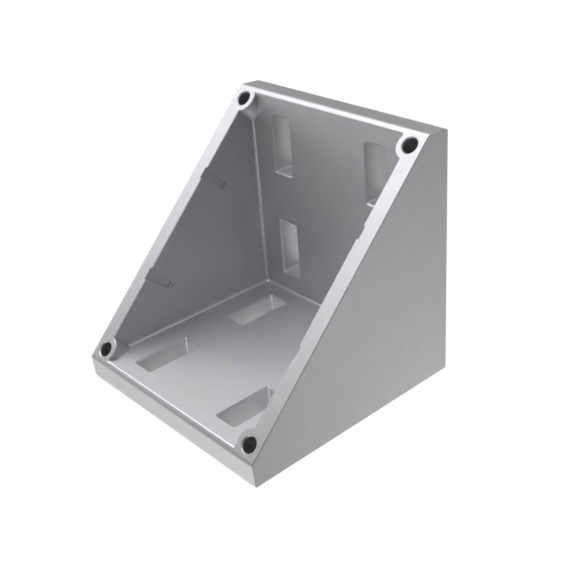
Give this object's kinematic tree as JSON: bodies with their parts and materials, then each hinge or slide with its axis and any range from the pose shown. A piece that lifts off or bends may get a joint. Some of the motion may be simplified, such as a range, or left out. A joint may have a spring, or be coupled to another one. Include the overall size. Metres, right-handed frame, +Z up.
{
  "type": "slotted framing corner bracket",
  "caption": "Cast gusseted corner bracket: square legs with through slots, triangular side walls and an open sloped rim with blind holes for a cover.",
  "frame": {"origin": "middle of the bracket's footprint, on the mounting face of the base leg", "axes": "+X across the bracket, +Y towards the upright leg's mounting face, +Z up along the upright leg"},
  "size_m": [0.088, 0.0869, 0.0869],
  "materials": {
    "cast_aluminium": "fine matt as-cast skin, lightly blasted, plain silver grey"
  },
  "bodies": {
    "root": {"bracket_casting": "cast_aluminium"}
  },
  "joints": []
}
